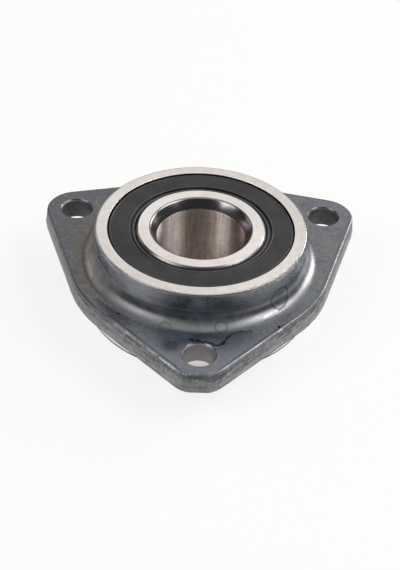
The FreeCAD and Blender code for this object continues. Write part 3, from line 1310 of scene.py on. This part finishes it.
    def build_boss(self, grid: PolarGrid) -> range:
        """Draws the ring's ground end face, its corner, the boss and the fillet to the flange.

        Args:
            grid: The grid.

        Returns:
            The rings of the corner.
        """
        edge = self.boss_radius - self.boss_corner
        grid.ring(self.mouth_radius + self.edge_break, self.top, Coat.GROUND)
        grid.run(edge, self.top, steps=7, finish=Coat.GROUND)
        corner = grid.arc((edge, self.top - self.boss_corner), -90, steps=6, finish=Coat.FORGED)
        grid.run(self.boss_radius, self.thickness + self.boss_fillet, steps=10)
        foot = self.boss_radius + self.boss_fillet
        grid.arc((foot, self.thickness + self.boss_fillet), 90, steps=14)
        return corner

    def build_flange(self, grid: PolarGrid) -> FlangeRings:
        """Draws the flange from the fillet's foot round its rim to the spigot.

        Args:
            grid: The grid.

        Returns:
            The rings that the forging's marks follow.
        """
        angles = grid.angles
        inner, outer = grid.radii[-1], self.outline(angles, -self.crease_insets[0])
        for share in np.linspace(0, 1, self.face_steps + 1)[1:]:
            radius = inner + (outer - inner) * share
            grid.ring(radius, self.top_height(angles, radius))
        crease = []
        for inset in self.crease_insets[1:] + (self.rim,):
            radius = self.outline(angles, -inset)
            crease.append(grid.ring(radius, self.top_height(angles, radius)))
        rim = []
        for turn in np.radians(np.linspace(0, 90, self.rim_steps + 1)[1:]):
            radius = self.outline(angles, self.rim * (math.sin(turn) - 1))
            height = self.top_height(angles, radius) - self.rim * (1 - math.cos(turn))
            rim.append(grid.ring(radius, height))
        wall_top = grid.heights[-1]
        above, below = self.parting + self.flash_width, self.parting - self.flash_width
        shares = np.linspace(0, 1, self.wall_steps + 1)[1:]
        upper = [wall_top + (above - wall_top) * share for share in shares]
        levels = [*upper, self.parting, *np.linspace(below, self.lower_edge, self.wall_foot_steps + 1)]
        wall = [grid.ring(self.outline(angles, self.wall_growth(level)), level) for level in levels]
        grid.ring(self.outline(angles, self.wall_growth(0.0) - self.lower_edge), 0.0)
        grid.run(self.spigot_radius, 0.0, steps=8)
        return FlangeRings(crease[:2], rim, wall, wall[len(upper)])

    def build_inside(self, grid: PolarGrid) -> None:
        """Draws the spigot, the lower seat, both grooves and the upper seat.

        Args:
            grid: The grid.
        """
        chamfer = self.bottom + self.spigot_chamfer
        grid.run(self.spigot_radius, chamfer + self.spigot_shade_band, steps=6, finish=Coat.SPIGOT)
        # Painted shade: the foot band and the chamfer below it are near-black where the spigot meets the
        # floor.
        grid.ring(self.spigot_radius, chamfer, Coat.SEAT)
        grid.ring(self.spigot_radius - self.spigot_chamfer, self.bottom, Coat.SEAT)
        grid.run(self.mouth_radius + self.edge_break, self.bottom, steps=4, finish=Coat.GROUND)
        self.seal_seat(grid, self.bottom, Row.LOWER)
        low_high = (self.low_shoulder, self.high_shoulder)
        self.raceways.cut(grid, Race.OUTER, Row.LOWER, low_high, Coat.GROUND)
        self.raceways.cut(grid, Race.OUTER, Row.UPPER, low_high[::-1], Coat.GROUND)
        self.seal_seat(grid, self.top, Row.UPPER)

    def forge(self, grid: PolarGrid, corner: Sequence[int], marks: FlangeRings) -> dict[str, np.ndarray]:
        """Roughens the forged surfaces and finds where they are worn.

        Args:
            grid: The grid, whose rings are moved.
            corner: Rings of the boss's corner.
            marks: Rings of the flange that carry marks.

        Returns:
            The mesh's attributes: worn edges, the wall, and the dark line inside the rim.
        """
        points = np.moveaxis(grid.points(), 1, 0)
        wear, wall, crease = (np.zeros((len(grid.angles), len(points))) for _ in range(3))
        for place in marks.wall:
            wall[:, place] = 1.0
            grid.radii[place] += sum(lumps.at(points[place]) for lumps in self.wall_lumps)
        flash = np.maximum(self.flash.at(points[marks.parting]), -self.flash_dip)
        grid.radii[marks.parting] += self.flash_reach + flash
        worn = np.max([stretch.along(grid.angles) for stretch in self.rim_wear], 0)
        for place in marks.rim:
            wear[:, place] = worn + self.rim_patches.at(points[place])
            grid.heights[place] -= np.maximum(self.rim_dents.at(points[place]), 0)
        for place in marks.crease:
            # Darkens a thin line just inside the rim, more where the rim is worn.
            crease[:, place] = np.clip(self.rim_line_darkening + worn, 0, 1)
        for place in range(corner[-1], marks.rim[-1]):
            nose = np.clip((self.pebbles_from - points[place][:, 1]) / self.pebbles_fade, 0, 1)
            grid.heights[place] += self.pebbles.at(points[place]) * nose
        self.chip(grid, corner, points, wear)
        return {"wear": wear, "wall": wall, "crease": crease}

    def chip(self, grid: PolarGrid, corner: Sequence[int], points: np.ndarray, wear: np.ndarray) -> None:
        """Chips the boss's corner and marks it as worn.

        Args:
            grid: The grid, whose rings are moved.
            corner: Rings of the boss's corner.
            points: The grid's points before they were moved, by ring, angle and axis.
            wear: How worn each point is, by angle and ring, which is added to.
        """
        chipped = self.chip_stretch.along(grid.angles)
        chips = np.maximum(self.chips.at(points[corner[2]]) + self.chip_depth, 0) * chipped
        for place in corner:
            grid.radii[place] -= chips
            whole, broken = self.edge_wear if place in corner[:2] else self.corner_wear
            wear[:, place] = whole + (broken - whole) * chipped
        for below in range(1, self.scraped_rings + 1):
            place = corner[-1] + below
            scraped = self.scrape_wear - self.scrape_fade * below + self.scrapes.at(points[place])
            wear[:, place] = chipped * scraped

    def hole_cutter(self, degrees: float) -> bpy.types.Object:
        """Makes the shape that cuts one bolt hole.

        Args:
            degrees: Polar angle of the hole.

        Returns:
            The cutter, with its chamfer.
        """
        past = self.cutter_past
        wall_end = self.thickness - self.hole_chamfer
        dirty = self.hole_chamfer * self.chamfer_dirt
        grid = PolarGrid(self.hole_sides)
        grid.ring(0.0, -past, Coat.DRILLED)
        grid.ring(self.hole_radius, -past, Coat.DRILLED)
        grid.run(self.hole_radius, wall_end, steps=6, finish=Coat.DRILLED)
        grid.ring(self.hole_radius + dirty, wall_end + dirty, Coat.DRILLED)
        grid.ring(self.hole_radius + self.hole_chamfer + past, self.thickness + past, Coat.CHAMFER)
        grid.ring(0.0, self.thickness + past, Coat.DRILLED)
        cutter = bpy.data.objects.new("hole_cutter", grid.mesh("hole_cutter"))
        turn = math.radians(degrees)
        cutter.location = Vector((math.cos(turn), math.sin(turn), 0)) * self.bolt_circle * MM
        bpy.context.scene.collection.objects.link(cutter)
        return cutter

    def drill(self, piece: bpy.types.Object) -> None:
        """Cuts the bolt holes.

        Args:
            piece: The flanged ring.
        """
        for degrees in self.ear_degrees:
            cutter = self.hole_cutter(degrees)
            for material in piece.data.materials:
                cutter.data.materials.append(material)
            boolean = piece.modifiers.new("hole", "BOOLEAN")
            boolean.operation = "DIFFERENCE"
            boolean.solver = "EXACT"
            boolean.object = cutter
            bpy.context.view_layer.update()
            evaluated = piece.evaluated_get(bpy.context.evaluated_depsgraph_get())
            drilled = bpy.data.meshes.new_from_object(evaluated)
            piece.modifiers.clear()
            piece.data = drilled
            bpy.data.objects.remove(cutter)

    def build(self) -> None:
        """Builds and dresses the piece."""
        grid = PolarGrid(self.count)
        corner = self.build_boss(grid)
        marks = self.build_flange(grid)
        self.build_inside(grid)
        values = self.forge(grid, corner, marks)
        piece = place_piece(
            "forged_flange_ring",
            grid,
            self.finishes,
            "housing",
            "flanged_outer_ring",
            values,
        )
        self.drill(piece)
        shade(piece, self.sharp_degrees)


class Grind(IntEnum):
    """Material slots of the inner ring."""

    FACE = 0
    BORE = 1
    BEVEL = 2
    LAND = 3


@dataclass
class InnerRing:
    """The one-piece inner ring with two grooves. Millimetres."""

    raceways: Raceways
    top: float = TOP
    bottom: float = BOTTOM
    bore_radius: float = 12.5
    bore_bevel: float = 1.75
    bevel_depth: float = 2.8
    bevel_crown: float = 0.02
    edge_round: float = 0.45
    land_radius: float = 18.35
    land_depth: float = 2.3
    land_bevel: float = 0.6
    land_crown: float = 0.06
    high_shoulder: float = 19.6
    low_shoulder: float = 18.7
    count: int = 256
    sharp_degrees: float = 30.0
    finishes: tuple[Finish, ...] = (
        GroundSteel("ring_steel", (0.88, 0.83, 0.79), (0.70, 0.65, 0.615)),
        GroundSteel("bore_steel", (0.79, 0.70, 0.655), (0.45, 0.38, 0.335), 0.41, 1.0, score=0.9),
        GroundSteel("bevel_steel", (0.30, 0.285, 0.295), (0.20, 0.19, 0.195), 0.2, 0.3),
        GroundSteel("land_steel", (0.26, 0.25, 0.25), (0.18, 0.17, 0.17), 0.32, 0.3),
    )

    def draw(self) -> PolarGrid:
        """Draws the ring from the bore over the upper face and the grooves to the lower face.

        Returns:
            The grid.
        """
        face_inner = self.bore_radius + self.bore_bevel
        face_outer = self.land_radius - self.land_bevel
        bevel_start, bevel_end = self.bottom + self.bevel_depth, self.top - self.bevel_depth
        bore_start = (self.bore_radius, bevel_start)
        grid = PolarGrid(self.count)
        grid.ring(*bore_start, Grind.BEVEL)
        grid.run(self.bore_radius, bevel_end, steps=24, finish=Grind.BORE)
        edge = self.edge_round / math.hypot(self.bore_bevel, self.bevel_depth)
        edge_start = (face_inner - edge * self.bore_bevel, self.top - edge * self.bevel_depth)
        grid.bow(*edge_start, self.bevel_crown, steps=8, finish=Grind.BEVEL)
        edge_end = (face_inner + self.edge_round, self.top)
        grid.bend((face_inner, self.top), edge_end, steps=6, finish=Grind.BEVEL)
        grid.run(face_outer, self.top, steps=6, finish=Grind.FACE)
        grid.bow(self.land_radius, self.top - self.land_bevel, self.land_crown, steps=6, finish=Grind.LAND)
        grid.run(self.land_radius, self.top - self.land_depth, steps=2, finish=Grind.FACE)
        grid.ring(self.high_shoulder, self.top - self.land_depth, Grind.FACE)
        high_low = (self.high_shoulder, self.low_shoulder)
        self.raceways.cut(grid, Race.INNER, Row.UPPER, high_low, Grind.FACE)
        self.raceways.cut(grid, Race.INNER, Row.LOWER, high_low[::-1], Grind.FACE)
        grid.ring(self.high_shoulder, self.bottom + self.land_depth, Grind.FACE)
        grid.ring(self.land_radius, self.bottom + self.land_depth, Grind.FACE)
        grid.run(self.land_radius, self.bottom + self.land_bevel, steps=2, finish=Grind.FACE)
        grid.bow(face_outer, self.bottom, self.land_crown, steps=6, finish=Grind.LAND)
        grid.run(face_inner, self.bottom, steps=6, finish=Grind.FACE)
        grid.bow(*bore_start, self.bevel_crown, steps=12, finish=Grind.BEVEL, closing=True)
        return grid

    def build(self) -> None:
        """Builds and dresses the piece."""
        piece = place_piece(
            "turned_inner_ring", self.draw(), self.finishes, "inner_ring", "inner_ring"
        )
        shade(piece, self.sharp_degrees)


class Mould(IntEnum):
    """Material slots of a seal."""

    FACE = 0
    RIB = 1


@dataclass
class Seal:
    """A moulded seal, with its bead in the outer ring's seat. Millimetres, measured from the end face."""

    row: Row
    end: float
    bead_radius: float = 27.1
    bead_depth: float = 2.2
    bead_top_depth: float = 1.2
    shoulder_depth: float = 1.0
    outer_radius: float = 26.05
    recess: float = 0.4
    edge: float = 0.1
    rim_radius: float = 20.1
    rib_width: float = 0.35
    rib_height: float = 0.12
    rib_steps: int = 8
    groove_width: float = 0.55
    groove_depth: float = 1.05
    lip_ring_width: float = 0.6
    lip_ring_depth: float = 0.75
    lip_radius: float = 18.45
    lip_top_depth: float = 1.4
    lip_under_depth: float = 1.95
    lip_root_inset: float = 0.4
    web_depth: float = 1.6
    web_inset: float = 0.3
    ledge_radius: float = 25.1
    count: int = 256
    sharp_degrees: float = 38.0
    finishes: tuple[Finish, ...] = (
        SealRubber(),
        SealRubber("rubbed_rubber", (0.040, 0.040, 0.042), (0.065, 0.064, 0.065), roughness=0.36),
    )

    def height(self, depth: float) -> float:
        """Height of a depth below the end face."""
        return self.end - self.row * depth

    def rings(self, grid: PolarGrid, *places: Pair) -> None:
        """Adds rings, each given by its radius and its depth below the end face."""
        for radius, depth in places:
            grid.ring(radius, self.height(depth), Mould.FACE)

    def rib(self, grid: PolarGrid, inner: float, width: float, depth: float) -> None:
        """Adds a low round rib, inwards from its outer foot.

        Args:
            grid: The grid.
            inner: Radius of its inner foot.
            width: How wide it is.
            depth: Depth of its feet below the end face.
        """
        for turn in np.linspace(0, math.pi, self.rib_steps + 1)[1:]:
            radius = inner + width / 2 * (1 + math.cos(turn))
            grid.ring(radius, self.height(depth - self.rib_height * math.sin(turn)), Mould.RIB)

    def draw(self) -> PolarGrid:
        """Draws the seal from its bead over the face to the lip, and back under the web.

        Returns:
            The grid.
        """
        grid = PolarGrid(self.count)
        lip_ring = self.rim_radius - self.groove_width - self.edge
        shoulder = self.outer_radius - self.edge
        self.rings(
            grid,
            (self.bead_radius, self.bead_depth),
            (self.bead_radius, self.bead_top_depth),
            (self.outer_radius + self.edge, self.shoulder_depth),
            (self.outer_radius, self.recess + self.edge),
            (shoulder, self.recess),
        )
        self.rib(grid, shoulder - self.rib_width, self.rib_width, self.recess)
        grid.run(self.rim_radius + self.rib_width, self.height(self.recess), steps=12, finish=Mould.FACE)
        self.rib(grid, self.rim_radius, self.rib_width, self.recess)
        self.rings(
            grid,
            (self.rim_radius - self.edge, self.groove_depth),
            (lip_ring + self.edge, self.groove_depth),
            (lip_ring, self.lip_ring_depth),
        )
        self.rib(grid, lip_ring - self.lip_ring_width, self.lip_ring_width, self.lip_ring_depth)
        self.rings(
            grid,
            (self.lip_radius, self.lip_top_depth),
            (self.lip_radius, self.lip_under_depth),
            (self.rim_radius - self.lip_root_inset, self.lip_under_depth),
            (self.rim_radius + self.web_inset, self.web_depth),
            (self.ledge_radius - self.web_inset, self.web_depth),
            (self.ledge_radius + self.web_inset, self.bead_depth),
        )
        return grid

    def build(self) -> None:
        """Builds and dresses the piece."""
        side = self.row.name.lower()
        piece = place_piece(
            f"moulded_seal_{side}", self.draw(), self.finishes, "housing", f"seal_{side}"
        )
        shade(piece, self.sharp_degrees)


@dataclass
class RollingSet:
    """The balls and cages, which keep their CAD shapes and get finished materials."""

    finishes: tuple[tuple[str, Finish], ...] = (("ball_", BALL_STEEL), ("cage_", CAGE_POLYAMIDE))

    def dress(self) -> None:
        """Gives each node its material."""
        for prefix, finish in self.finishes:
            material = finish.material()
            for name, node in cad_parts.items():
                if name.startswith(prefix):
                    for slot in node.material_slots:
                        slot.material = material
                    LOG.info("%s: %s", name, material.name)


@dataclass(frozen=True)
class Lamp:
    """A soft rectangular lamp that points at the bearing. Metres and watts."""

    name: str
    position: Point
    width: float
    height: float
    power: float

    def hang(self, aim: Vector) -> None:
        """Makes the lamp.

        Args:
            aim: The point that it faces.
        """
        data = bpy.data.lights.new(self.name, "AREA")
        data.shape = "RECTANGLE"
        data.size = self.width
        data.size_y = self.height
        data.energy = self.power
        lamp = bpy.data.objects.new(self.name, data)
        lamp.location = self.position
        lamp.rotation_euler = (aim - Vector(self.position)).to_track_quat("-Z", "Y").to_euler()
        bpy.context.scene.collection.objects.link(lamp)


@dataclass
class Studio:
    """A white paper floor, soft lamps, a pale surround and the camera."""

    white: Colour = (1.0, 1.0, 1.0)
    paper: Colour = (0.87, 0.85, 0.82)
    paper_glow: float = 0.83
    shaded_paper: Pair = (26.0, 40.0)
    floor_radius: float = 2.0
    floor_sides: int = 96
    floor_gap: Pair = (14.4, 31.9)
    surround: float = 0.24
    room_level: float = 0.075
    under_level: float = 0.55
    under_edge: Pair = (0.0, -0.3)
    canopy: Point = (0.0, 0.42, 0.91)
    canopy_edge: Pair = (0.54, 0.70)
    canopy_squeeze: float = 0.6
    canopy_left: Pair = (-0.45, -0.2)
    camera_place: Point = (-8.28, -351.29, 281.59)
    camera_azimuth: float = -1.4236
    camera_elevation: float = 39.15
    camera_roll: float = 2.727
    focal_pixels: float = 1560.64
    sensor: float = 36.0
    near_clip: float = 0.01
    lamps: tuple[Lamp, ...] = (
        Lamp("right_window", (0.668, -0.035, 0.743), 0.8, 0.5, 6.2),
        Lamp("right_back", (0.704, 0.612, 0.358), 0.45, 0.36, 4.2),
        Lamp("left_back", (-0.750, 0.565, 0.342), 0.4, 0.36, 0.6),
        Lamp("left_window", (-0.6735, -0.314, 0.669), 0.56, 0.5, 3.9),
    )

    def floor_mesh(self) -> bpy.types.Mesh:
        """Makes the floor: a disc with a gap that the rings cover, so that light reaches their lower faces.

        Returns:
            The mesh, in metres.
        """
        count = self.floor_sides
        turns = [2 * math.pi * side / count for side in range(count)]
        radii = (self.floor_gap[0] * MM, self.floor_gap[1] * MM, self.floor_radius)
        corners = [(r * math.cos(turn), r * math.sin(turn), CAD_BOX[0].z) for r in radii for turn in turns]
        faces = [tuple(range(count))]
        for near in range(count, 2 * count):
            after = count + (near + 1) % count
            faces.append((near, near + count, after + count, after))
        mesh = bpy.data.meshes.new("floor")
        mesh.from_pydata(corners, [], faces)
        return mesh

    def lay_floor(self) -> None:
        """Lays the paper, which keeps the bearing's shadow and can be looked through from below."""
        graph, material = Graph.of_material("paper")
        paper = graph.node("ShaderNodeBsdfDiffuse", sockets={"Color": self.paper})
        glow = graph.node("ShaderNodeEmission", sockets={"Color": self.white})
        in_view, in_metal = graph.rays("Camera", "Glossy")
        x, y, _ = graph.axes(graph.place())
        open_paper = graph.vector(x, y, 0.0).length().rise(*self.shaded_paper)
        lit = graph.layer(paper, glow, in_view.most(in_metal * open_paper) * self.paper_glow)
        clear = graph.node("ShaderNodeBsdfTransparent")
        from_below = graph.node("ShaderNodeNewGeometry", output="Backfacing")
        graph.finish(graph.layer(lit, clear, from_below))
        floor = bpy.data.objects.new("floor", self.floor_mesh())
        floor.data.materials.append(material)
        bpy.context.scene.collection.objects.link(floor)

    def light(self) -> None:
        """Hangs the lamps and sets the surround, which is white where it is seen."""
        aim = (CAD_BOX[0] + CAD_BOX[1]) / 2
        for lamp in self.lamps:
            lamp.hang(aim)
        world = bpy.data.worlds.new("surround")
        world.use_nodes = True
        graph = Graph(world.node_tree)
        in_view, in_metal, in_glass = graph.rays("Camera", "Glossy", "Transmission")
        toward = graph.node("ShaderNodeTexCoord", output="Generated")
        across, _, up = graph.axes(toward)
        canopy = (toward.dot(self.canopy) - across * across * self.canopy_squeeze).rise(*self.canopy_edge)
        canopy = canopy * across.rise(*self.canopy_left)
        room = self.room_level + (1.0 - self.room_level) * canopy
        room = room + self.under_level * up.rise(*self.under_edge)
        level = self.surround * (1.0 - in_view) * (1.0 - in_metal) * (1.0 - in_glass)
        level = level + in_view.most(in_glass) + in_metal * room
        sky = graph.node("ShaderNodeBackground", sockets={"Color": self.white, "Strength": level})
        graph.node("ShaderNodeOutputWorld", sockets={"Surface": sky})
        bpy.context.scene.world = world

    def set_camera(self) -> None:
        """Sets up the camera at the photograph's angle."""
        azimuth, elevation = math.radians(self.camera_azimuth), math.radians(self.camera_elevation)
        level = math.cos(elevation)
        back = Vector((math.sin(azimuth) * level, -math.cos(azimuth) * level, math.sin(elevation)))
        right = (-back).cross(Vector((0, 0, 1))).normalized()
        up = right.cross(-back)
        turn = Matrix.Rotation(math.radians(self.camera_roll), 3, back)
        axes = Matrix((turn @ right, turn @ up, back)).transposed()
        data = bpy.data.cameras.new("camera")
        data.sensor_width = self.sensor
        data.lens = self.focal_pixels * self.sensor / PHOTO_HEIGHT
        data.clip_start = self.near_clip
        camera = bpy.data.objects.new("camera", data)
        camera.matrix_world = Matrix.Translation(Vector(self.camera_place) * MM) @ axes.to_4x4()
        bpy.context.scene.collection.objects.link(camera)
        bpy.context.scene.camera = camera

    def build(self) -> None:
        """Sets up the whole studio."""
        self.lay_floor()
        self.light()
        self.set_camera()
        bpy.context.scene.view_settings.view_transform = "Standard"


def main() -> None:
    """Builds the bearing's pieces and the studio, in order."""
    logging.basicConfig(level=logging.INFO, format="%(message)s")
    raceways = Raceways()
    FlangedOuterRing(raceways).build()
    InnerRing(raceways).build()
    Seal(Row.UPPER, TOP).build()
    Seal(Row.LOWER, BOTTOM).build()
    RollingSet().dress()
    Studio().build()


if __name__ == "__main__":
    main()
